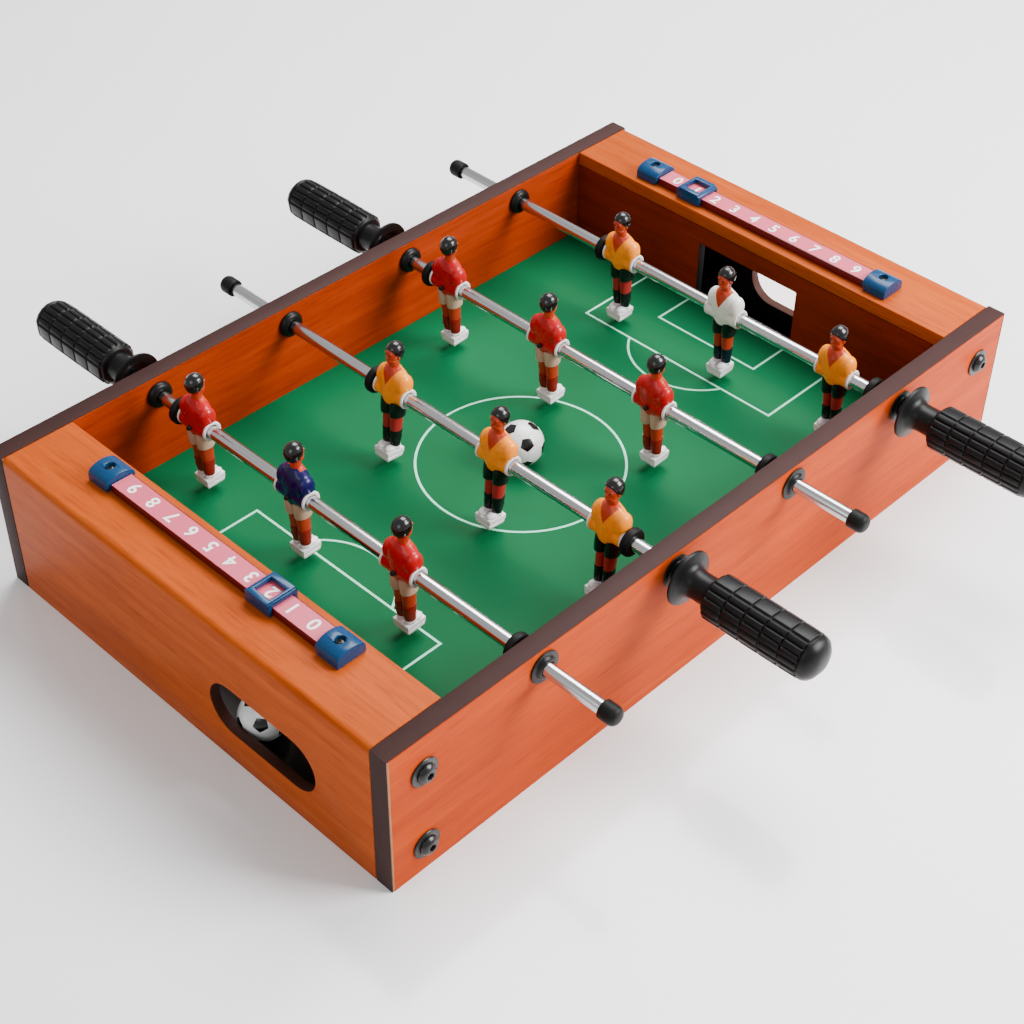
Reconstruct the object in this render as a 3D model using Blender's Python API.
"""Tabletop foosball table: a wooden box with four player rods, scorers and balls.

Metres, +Z up. The origin is the middle of the footprint, on the surface the
table stands on. X runs along the table, Y along the rods. Rods are numbered
1 to 4 from -X to +X. "near" means the -Y side and "far" the +Y side; "left"
means the -X end and "right" the +X end.
"""

import math

import bmesh
import bpy
from mathutils import Matrix, Vector

# ---- driving dimensions -----------------------------------------------------
LENGTH = 0.510            # X, over the side panels
WIDTH = 0.323             # Y, over the side panels
HEIGHT = 0.0965           # top edge of the panels
PANEL = 0.012             # side panel thickness
GAP = 0.0003              # clearance between pieces that touch
TURNED_SIDES = 12         # sides of every turned piece and drilled hole

END_DEPTH = 0.047         # X, each end box with the ball pocket in it
END_WALL = 0.0065         # its outer wall
END_TOP = 0.009           # its top board
END_ROUND = 0.004         # radius of the rounded outer top edge
GOAL_WALL = 0.0065        # wall between field and pocket
POCKET_FLOOR = 0.004      # board under the pocket
FLOOR_LIFT = 0.001        # underside of the pocket floor above the ground

FIELD_TOP = 0.0335        # playing surface
FIELD_THICK = 0.006
GROOVE = 0.0025           # the field board enters the panels by this much

GOAL_WIDTH = 0.080
GOAL_HEIGHT = 0.041
RETURN_LENGTH = 0.083     # stadium-shaped ball return hole
RETURN_HEIGHT = 0.034
RETURN_Z = 0.039
RETURN_Y = {"left": -0.065, "right": -0.017}

ROD_Z = 0.084
ROD_PITCH = 0.0995
ROD_R = 0.004
BORE_R = 0.0043           # every bore that the rod passes through

BUSH_HOLE_R = 0.0075      # hole in the panel
BUSH_BARREL_R = 0.0072
BUSH_FLANGE_R = 0.0098
BUSH_FLANGE = 0.003       # outer flange thickness
BUSH_NOSE_R = 0.0085
BUSH_NOSE = 0.004         # how far the nose stands into the play area
BUSH_NOSE_ROUND = 0.0025

BUMPER_R = 0.0085
BUMPER = 0.005
BUMPER_RIM = 0.0014       # rounding of its rim

PLAYER_PITCH = 0.0855
PLAYER_HALF = 0.0125      # half width over the sleeves, along the rod
HEAD_TOP = 0.0345         # above the rod axis
HEAD_AHEAD = 0.0024       # the head sits forward of the rod axis
SOLE = -0.0455            # below the rod axis

HANDLE_START = 0.1697     # |Y| of the handle's inner face
HANDLE_LENGTH = 0.090
HANDLE_BORE = 0.065
HANDLE_FLANGE_R = 0.0163
HANDLE_FLANGE = 0.0055
HANDLE_NECK_R = 0.0085
HANDLE_NECK_END = 0.019
HANDLE_FILLET = 0.001
HANDLE_GRIP_R = 0.0130
HANDLE_BELLY_R = 0.0138
HANDLE_DOME = 0.013
HANDLE_RECESS_R = 0.0105  # recess that takes in the bushing's outer flange
HANDLE_RECESS = 0.0035
CAP_START = 0.2015        # |Y| where the end cap starts
CAP_LENGTH = 0.0106
CAP_R = 0.0056
CAP_BORE = 0.0078
CAP_CHAMFER = 0.0008
CAP_DOME = 0.0042

BALL_R = 0.014
POCKET_BALL = (-0.2340, -0.039)

SCORER_INSET = 0.014      # rail centre behind the end box's inner edge
RAIL_WIDTH = 0.014
RAIL_HEIGHT = 0.005
RAIL_LENGTH = 0.168
DIGIT_PITCH = 0.0162
SCORER_CAP = (0.019, 0.017, 0.0092)
SLIDER = (0.019, 0.019, 0.0082)
SLIDER_WINDOW = (0.0115, 0.0125)
SLIDER_SCORE = {"left": 2, "right": 1}

# Each rod: number, side its handle is on (+1 far, -1 near), Y of its middle
# player, tilt of the players about the rod in degrees, and the near and far
# bumpers: True where the bumper sits against the outer player and travels
# with the rod, False where it rests against the bushing.
RODS = [
    {"n": 1, "side": 1, "middle": 0.0267, "tilt": -2.0, "rides": {"near": False, "far": True}},
    {"n": 2, "side": -1, "middle": -0.0300, "tilt": 6.0, "rides": {"near": True, "far": True}},
    {"n": 3, "side": 1, "middle": 0.0267, "tilt": -3.0, "rides": {"near": False, "far": True}},
    {"n": 4, "side": -1, "middle": -0.0300, "tilt": -2.0, "rides": {"near": False, "far": True}},
]

INNER_Y = WIDTH / 2 - PANEL
INNER_X = LENGTH / 2 - END_DEPTH
SIDES = {"near": -1, "far": 1}
ENDS = {"left": -1, "right": 1}


# ---- materials --------------------------------------------------------------
def material(name, colour, rough, metal=0.0):
    """A Principled BSDF of one colour (linear RGB)."""
    mat = bpy.data.materials.new(name)
    mat.use_nodes = True
    shader = mat.node_tree.nodes["Principled BSDF"]
    shader.inputs["Base Color"].default_value = (*colour, 1.0)
    shader.inputs["Roughness"].default_value = rough
    shader.inputs["Metallic"].default_value = metal
    return mat


# ---- shape helpers ----------------------------------------------------------
def link(mesh, name, mat):
    obj = bpy.data.objects.new(name, mesh)
    bpy.context.collection.objects.link(obj)
    obj.data.materials.append(mat)
    return obj


def finish(bm, name, mat, smooth=True):
    """Turn a bmesh into an object with outward faces."""
    bmesh.ops.remove_doubles(bm, verts=bm.verts, dist=1e-6)
    bmesh.ops.recalc_face_normals(bm, faces=bm.faces)
    mesh = bpy.data.meshes.new(name)
    bm.to_mesh(mesh)
    bm.free()
    if smooth:
        mesh.shade_smooth()
        mesh.set_sharp_from_angle(angle=math.radians(35))
    return link(mesh, name, mat)


def box_bmesh(low, high):
    bm = bmesh.new()
    size = Vector(high) - Vector(low)
    centre = (Vector(high) + Vector(low)) / 2
    place = Matrix.Translation(centre) @ Matrix.Diagonal((*size, 1.0))
    bmesh.ops.create_cube(bm, size=1.0, matrix=place)
    return bm


def board(name, low, high, mat):
    """A flat board given by two corners."""
    return finish(box_bmesh(low, high), name, mat, smooth=False)


def extrude_outline(points, direction, name, mat, smooth=False):
    """Close a flat outline of points and extrude it along a direction."""
    bm = bmesh.new()
    face = bm.faces.new([bm.verts.new(p) for p in points])
    grown = bmesh.ops.extrude_face_region(bm, geom=[face])
    verts = [v for v in grown["geom"] if isinstance(v, bmesh.types.BMVert)]
    bmesh.ops.translate(bm, verts=verts, vec=direction)
    return finish(bm, name, mat, smooth)


def turned(name, profile, mat, x, z, side, closed=True):
    """Spin (y, radius) points about the Y axis through (x, z).

    Points run from small to large y; side -1 mirrors the shape in Y. An open
    profile starts and ends on the axis, a closed one is a ring's section.
    """
    bm = bmesh.new()
    rings = []
    for y, r in profile:
        if r == 0:
            rings.append([bm.verts.new((x, side * y, z))])
            continue
        ring = []
        for i in range(TURNED_SIDES):
            a = 2 * math.pi * i / TURNED_SIDES
            ring.append(bm.verts.new((x + r * math.sin(a), side * y, z + r * math.cos(a))))
        rings.append(ring)
    pairs = list(zip(rings, rings[1:]))
    if closed:
        pairs.append((rings[-1], rings[0]))
    for one, two in pairs:
        for i in range(TURNED_SIDES):
            j = (i + 1) % TURNED_SIDES
            corners = [one[i % len(one)], one[j % len(one)], two[j % len(two)], two[i % len(two)]]
            bm.faces.new(list(dict.fromkeys(corners)))
    return finish(bm, name, mat)


def cutter(obj):
    obj.hide_render = True
    obj.display_type = "WIRE"
    return obj


def cut(target, tool):
    """Subtract a hidden cutter from the target with a Boolean modifier."""
    mod = target.modifiers.new("cut_" + tool.name, "BOOLEAN")
    mod.operation = "DIFFERENCE"
    mod.object = cutter(tool)


def rod_x(number):
    return (number - 2.5) * ROD_PITCH


# ---- cabinet ----------------------------------------------------------------
def side_panel(where, wood):
    """A long side with four bushing holes and a groove for the field board."""
    s = SIDES[where]
    low = (-LENGTH / 2, min(s * INNER_Y, s * WIDTH / 2), 0.0)
    high = (LENGTH / 2, max(s * INNER_Y, s * WIDTH / 2), HEIGHT)
    panel = board("side_panel_" + where, low, high, wood)
    drills = bmesh.new()
    for rod in RODS:
        place = Matrix.Translation((rod_x(rod["n"]), s * (INNER_Y + PANEL / 2), ROD_Z))
        bmesh.ops.create_cone(
            drills, cap_ends=True, segments=TURNED_SIDES, radius1=BUSH_HOLE_R, radius2=BUSH_HOLE_R,
            depth=PANEL * 2, matrix=place @ Matrix.Rotation(math.pi / 2, 4, "X"))
    cut(panel, finish(drills, "drills_" + where, wood))
    floor = FIELD_TOP - FIELD_THICK - GAP
    groove = box_bmesh(
        (-INNER_X, s * INNER_Y - GROOVE, floor), (INNER_X, s * INNER_Y + GROOVE, FIELD_TOP + GAP))
    cut(panel, finish(groove, "groove_" + where, wood, smooth=False))


def return_outline(x, y):
    """Stadium outline of the ball return hole, in the plane at x."""
    r = RETURN_HEIGHT / 2
    reach = RETURN_LENGTH / 2 - r
    points = []
    for centre, start in ((y + reach, -90), (y - reach, 90)):
        for k in range(9):
            a = math.radians(start + k * 180 / 8)
            points.append((x, centre + r * math.cos(a), RETURN_Z + r * math.sin(a)))
    return points


def end_cover(where, wood):
    """Top board and outer wall in one bent piece, with the ball return hole."""
    s = ENDS[where]
    outer = LENGTH / 2
    inner = outer - END_WALL
    profile = [(INNER_X, HEIGHT - END_TOP), (INNER_X, HEIGHT)]
    for k in range(4):
        a = math.radians(90 - 30 * k)
        profile.append((outer - END_ROUND * (1 - math.cos(a)),
                        HEIGHT - END_ROUND * (1 - math.sin(a))))
    profile += [(outer, 0.0), (inner, 0.0), (inner, HEIGHT - END_TOP)]
    half = INNER_Y - GAP
    points = [(s * x, -half, z) for x, z in profile]
    cover = extrude_outline(points, (0, 2 * half, 0), "end_cover_" + where, wood)
    depth = END_WALL * 3
    start = min(s * (inner - END_WALL), s * (inner - END_WALL) + s * depth)
    hole = extrude_outline(return_outline(start, RETURN_Y[where]), (depth, 0, 0),
                           "return_cut_" + where, wood)
    cut(cover, hole)


def goal_wall(where, wood):
    """Wall between field and pocket with the goal mouth, as one outline."""
    s = ENDS[where]
    half, mouth = INNER_Y - GAP, GOAL_WIDTH / 2
    top = HEIGHT - END_TOP - GAP
    low = FIELD_TOP + GAP
    x = s * INNER_X + (0 if s > 0 else -GOAL_WALL)
    wall = board("goal_wall_" + where, (x, -half, 0.0), (x + GOAL_WALL, half, top), wood)
    hole = box_bmesh((x - GOAL_WALL, -mouth, low), (x + 2 * GOAL_WALL, mouth, low + GOAL_HEIGHT))
    cut(wall, finish(hole, "mouth_" + where, wood, smooth=False))


def pocket_floor(where, wood):
    s = ENDS[where]
    a = s * (INNER_X + GOAL_WALL + GAP)
    b = s * (LENGTH / 2 - END_WALL - GAP)
    half = INNER_Y - GAP
    board("pocket_floor_" + where, (min(a, b), -half, FLOOR_LIFT),
          (max(a, b), half, FLOOR_LIFT + POCKET_FLOOR), wood)


def playfield(green):
    half_x = INNER_X - GAP
    half_y = INNER_Y + GROOVE - GAP
    board("playfield", (-half_x, -half_y, FIELD_TOP - FIELD_THICK), (half_x, half_y, FIELD_TOP), green)


# ---- rods and what is on them -----------------------------------------------
def bushing(rod, where, plastic):
    """Flanged bearing: flange outside, barrel in the panel, nose inside."""
    inner, outer = INNER_Y, WIDTH / 2
    profile = [
        (inner - BUSH_NOSE, BORE_R), (inner - BUSH_NOSE, BUSH_NOSE_R - BUSH_NOSE_ROUND),
        (inner - BUSH_NOSE / 2, BUSH_NOSE_R), (inner - GAP, BUSH_NOSE_R),
        (inner - GAP, BUSH_BARREL_R), (outer + GAP, BUSH_BARREL_R),
        (outer + GAP, BUSH_FLANGE_R), (outer + BUSH_FLANGE / 2, BUSH_FLANGE_R),
        (outer + BUSH_FLANGE, BUSH_FLANGE_R - BUSH_NOSE_ROUND), (outer + BUSH_FLANGE, BORE_R)]
    name = "bushing_%d_%s" % (rod["n"], where)
    turned(name, profile, plastic, rod_x(rod["n"]), ROD_Z, SIDES[where])


def bumper(rod, where, rubber):
    """Rubber ring with a rounded rim, on the rod between player and bushing."""
    s = SIDES[where]
    if rod["rides"][where]:
        start = s * rod["middle"] + PLAYER_PITCH + PLAYER_HALF + GAP
    else:
        start = INNER_Y - BUSH_NOSE - GAP - BUMPER
    profile = [(start, BORE_R), (start, BUMPER_R - BUMPER_RIM), (start + BUMPER_RIM, BUMPER_R),
               (start + BUMPER - BUMPER_RIM, BUMPER_R), (start + BUMPER, BUMPER_R - BUMPER_RIM),
               (start + BUMPER, BORE_R)]
    turned("bumper_%d_%s" % (rod["n"], where), profile, rubber, rod_x(rod["n"]), ROD_Z, s)


def steel_rod(rod, steel):
    """Straight bar from inside the end cap to inside the handle."""
    start = -(CAP_START + CAP_BORE - GAP)
    stop = HANDLE_START + HANDLE_BORE - GAP
    profile = [(start, 0), (start, ROD_R), (stop, ROD_R), (stop, 0)]
    turned("rod_%d" % rod["n"], profile, steel, rod_x(rod["n"]), ROD_Z, rod["side"], closed=False)


def handle(rod, plastic):
    """Grip with a flange, a narrow neck and a domed end, bored for the rod."""
    y = HANDLE_START
    end = y + HANDLE_LENGTH
    neck = y + HANDLE_FLANGE
    grip = y + HANDLE_NECK_END
    dome = end - HANDLE_DOME
    profile = [(y + HANDLE_BORE, 0), (y + HANDLE_BORE, BORE_R), (y + HANDLE_RECESS, BORE_R),
               (y + HANDLE_RECESS, HANDLE_RECESS_R), (y, HANDLE_RECESS_R), (y, HANDLE_FLANGE_R),
               (y + HANDLE_FLANGE / 2, HANDLE_FLANGE_R), (neck, HANDLE_GRIP_R),
               (neck + HANDLE_FILLET, HANDLE_NECK_R), (grip, HANDLE_NECK_R),
               (grip + HANDLE_FILLET * 2, HANDLE_GRIP_R), ((grip + dome) / 2, HANDLE_BELLY_R)]
    for k in range(4):
        a = math.radians(30 * k)
        profile.append((dome + HANDLE_DOME * math.sin(a), HANDLE_GRIP_R * math.cos(a) if k < 3 else 0))
    turned("handle_%d" % rod["n"], profile, plastic, rod_x(rod["n"]), ROD_Z, rod["side"], closed=False)


def end_cap(rod, rubber):
    """Domed cap on the plain end of the rod."""
    y, end = CAP_START, CAP_START + CAP_LENGTH
    profile = [(y + CAP_BORE, 0), (y + CAP_BORE, BORE_R), (y, BORE_R), (y, CAP_R - CAP_CHAMFER),
               (y + CAP_CHAMFER, CAP_R), (end - CAP_DOME, CAP_R),
               (end - CAP_DOME / 3, CAP_R * 0.75), (end, 0)]
    turned("end_cap_%d" % rod["n"], profile, rubber, rod_x(rod["n"]), ROD_Z, -rod["side"], closed=False)


# A player from sole to crown: height above the rod axis, half width along Y,
# half depth along X, forward offset, and how square the section is (0 to 1).
PLAYER_SECTIONS = [
    (SOLE, 0.0072, 0.0082, 0.0018, 1.0),
    (-0.0400, 0.0070, 0.0080, 0.0018, 1.0),
    (-0.0385, 0.0042, 0.0048, 0.0000, 0.3),
    (-0.0170, 0.0058, 0.0058, 0.0000, 0.3),
    (-0.0150, 0.0078, 0.0068, 0.0000, 0.5),
    (-0.0068, 0.0088, 0.0070, 0.0000, 0.5),
    (-0.0060, PLAYER_HALF, 0.0070, 0.0000, 0.9),
    (0.0060, PLAYER_HALF, 0.0070, 0.0000, 0.9),
    (0.0140, 0.0114, 0.0072, 0.0004, 0.5),
    (0.0178, 0.0056, 0.0046, 0.0012, 0.0),
    (0.0205, 0.0040, 0.0044, 0.0018, 0.0),
    (0.0240, 0.0058, 0.0064, 0.0026, 0.0),
    (0.0308, 0.0056, 0.0062, 0.0024, 0.0),
]


def section_ring(half_y, half_x, offset, square, count=8):
    """Points of a rounded section, from an ellipse (0) to a rectangle (1)."""
    points = []
    for i in range(count):
        a = 2 * math.pi * (i + 0.5) / count
        c, s = math.cos(a), math.sin(a)
        stretch = 1.0 / max(abs(c), abs(s))
        k = 1.0 + (stretch - 1.0) * square * 0.93
        points.append((offset + half_x * c * k, half_y * s * k))
    return points


def player(rod, place, y, kit):
    """One footballer, lofted from sole to crown, bored for the rod."""
    facing = rod["side"]
    turn = Matrix.Rotation(math.radians(rod["tilt"]), 4, "Y")
    put = Matrix.Translation((rod_x(rod["n"]), y, ROD_Z)) @ turn
    bm = bmesh.new()
    rings = []
    for z, half_y, half_x, offset, square in PLAYER_SECTIONS:
        ring = section_ring(half_y, half_x, offset, square)
        rings.append([bm.verts.new(put @ Vector((facing * u, v, z))) for u, v in ring])
    crown = bm.verts.new(put @ Vector((facing * HEAD_AHEAD, 0, HEAD_TOP)))
    for one, two in zip(rings, rings[1:]):
        for i in range(len(one)):
            j = (i + 1) % len(one)
            bm.faces.new((one[i], one[j], two[j], two[i]))
    for i in range(len(rings[-1])):
        bm.faces.new((rings[-1][i], rings[-1][(i + 1) % len(rings[-1])], crown))
    bm.faces.new(rings[0])
    figure = finish(bm, "player_%d_%s" % (rod["n"], place), kit)
    drill = turned("bore_%d_%s" % (rod["n"], place),
                   [(y - 0.02, 0), (y - 0.02, BORE_R), (y + 0.02, BORE_R), (y + 0.02, 0)],
                   kit, rod_x(rod["n"]), ROD_Z, 1, closed=False)
    cut(figure, drill)


def rod_set(rod, mats):
    """Everything that belongs to one rod, its bearings included."""
    for where in SIDES:
        bushing(rod, where, mats["black"])
        bumper(rod, where, mats["rubber"])
    steel_rod(rod, mats["steel"])
    handle(rod, mats["black"])
    end_cap(rod, mats["rubber"])
    team = "red" if rod["side"] > 0 else "yellow"
    for place, step in (("near", -1), ("middle", 0), ("far", 1)):
        kit = mats[team]
        if place == "middle" and rod["n"] == 1:
            kit = mats["blue"]
        if place == "middle" and rod["n"] == 4:
            kit = mats["white"]
        player(rod, place, rod["middle"] + step * PLAYER_PITCH, kit)


# ---- scorers ----------------------------------------------------------------
def scorer_rail(where, pink):
    x = ENDS[where] * (INNER_X + SCORER_INSET)
    low = (x - RAIL_WIDTH / 2, -RAIL_LENGTH / 2, HEIGHT + GAP)
    high = (x + RAIL_WIDTH / 2, RAIL_LENGTH / 2, HEIGHT + GAP + RAIL_HEIGHT)
    board("scorer_rail_" + where, low, high, pink)


def scorer_cap(where, side, blue):
    """Half-round end block that holds the rail down."""
    x = ENDS[where] * (INNER_X + SCORER_INSET)
    s = SIDES[side]
    half, depth, height = SCORER_CAP[0] / 2, SCORER_CAP[1], SCORER_CAP[2]
    start = s * (RAIL_LENGTH / 2 + GAP)
    y = start if s > 0 else start - depth
    base = HEIGHT + GAP
    points = [(x - half, y, base)]
    shoulder = height * 0.45
    for k in range(9):
        a = math.pi - math.pi * k / 8
        points.append((x + half * math.cos(a), y,
                       base + shoulder + (height - shoulder) * math.sin(a)))
    points.append((x + half, y, base))
    extrude_outline(points, (0, depth, 0), "scorer_cap_%s_%s" % (where, side), blue)


def score_slider(where, blue):
    """Window frame that straddles the rail and frames one digit."""
    s = ENDS[where]
    x = s * (INNER_X + SCORER_INSET)
    y = s * (4.5 - SLIDER_SCORE[where]) * DIGIT_PITCH
    half_x, half_y, height = SLIDER[0] / 2, SLIDER[1] / 2, SLIDER[2]
    base = HEIGHT + GAP
    channel = RAIL_WIDTH / 2 + GAP
    under = base + RAIL_HEIGHT + GAP
    lip = 0.0012
    points = [(x - half_x, y - half_y, base), (x - half_x, y - half_y, base + height - lip),
              (x - half_x + lip, y - half_y, base + height),
              (x + half_x - lip, y - half_y, base + height),
              (x + half_x, y - half_y, base + height - lip), (x + half_x, y - half_y, base),
              (x + channel, y - half_y, base), (x + channel, y - half_y, under),
              (x - channel, y - half_y, under), (x - channel, y - half_y, base)]
    slider = extrude_outline(points, (0, 2 * half_y, 0), "score_slider_" + where, blue)
    win_x, win_y = SLIDER_WINDOW[0] / 2, SLIDER_WINDOW[1] / 2
    window = box_bmesh((x - win_x, y - win_y, under - 0.002), (x + win_x, y + win_y, base + height + 0.002))
    cut(slider, finish(window, "window_" + where, blue, smooth=False))


# ---- balls ------------------------------------------------------------------
def ball(name, x, y, z, white):
    bm = bmesh.new()
    bmesh.ops.create_uvsphere(bm, u_segments=16, v_segments=10, radius=BALL_R,
                              matrix=Matrix.Translation((x, y, z)))
    finish(bm, name, white)


# ---- the table --------------------------------------------------------------
def clear_scene():
    for obj in list(bpy.data.objects):
        bpy.data.objects.remove(obj)


def main():
    clear_scene()
    mats = {
        "wood": material("wood", (0.62, 0.17, 0.045), 0.35),
        "dark_wood": material("dark_wood", (0.20, 0.035, 0.010), 0.4),
        "green": material("green", (0.0, 0.22, 0.08), 0.45),
        "black": material("black_plastic", (0.012, 0.012, 0.013), 0.35),
        "rubber": material("rubber", (0.010, 0.010, 0.011), 0.6),
        "steel": material("steel", (0.78, 0.78, 0.79), 0.15, 1.0),
        "red": material("red_kit", (0.60, 0.012, 0.015), 0.3),
        "yellow": material("yellow_kit", (0.85, 0.42, 0.02), 0.3),
        "blue": material("blue_plastic", (0.02, 0.12, 0.40), 0.3),
        "white": material("white_plastic", (0.85, 0.85, 0.84), 0.3),
        "pink": material("scorer_pink", (0.75, 0.36, 0.38), 0.35),
    }
    for where in SIDES:
        side_panel(where, mats["wood"])
    for where in ENDS:
        end_cover(where, mats["wood"])
        goal_wall(where, mats["dark_wood"])
        pocket_floor(where, mats["dark_wood"])
        scorer_rail(where, mats["pink"])
        score_slider(where, mats["blue"])
        for side in SIDES:
            scorer_cap(where, side, mats["blue"])
    playfield(mats["green"])
    for rod in RODS:
        rod_set(rod, mats)
    ball("ball_in_play", 0.0, 0.0, FIELD_TOP + GAP + BALL_R, mats["white"])
    rest = FLOOR_LIFT + POCKET_FLOOR + GAP + BALL_R
    ball("ball_in_pocket", *POCKET_BALL, rest, mats["white"])


main()
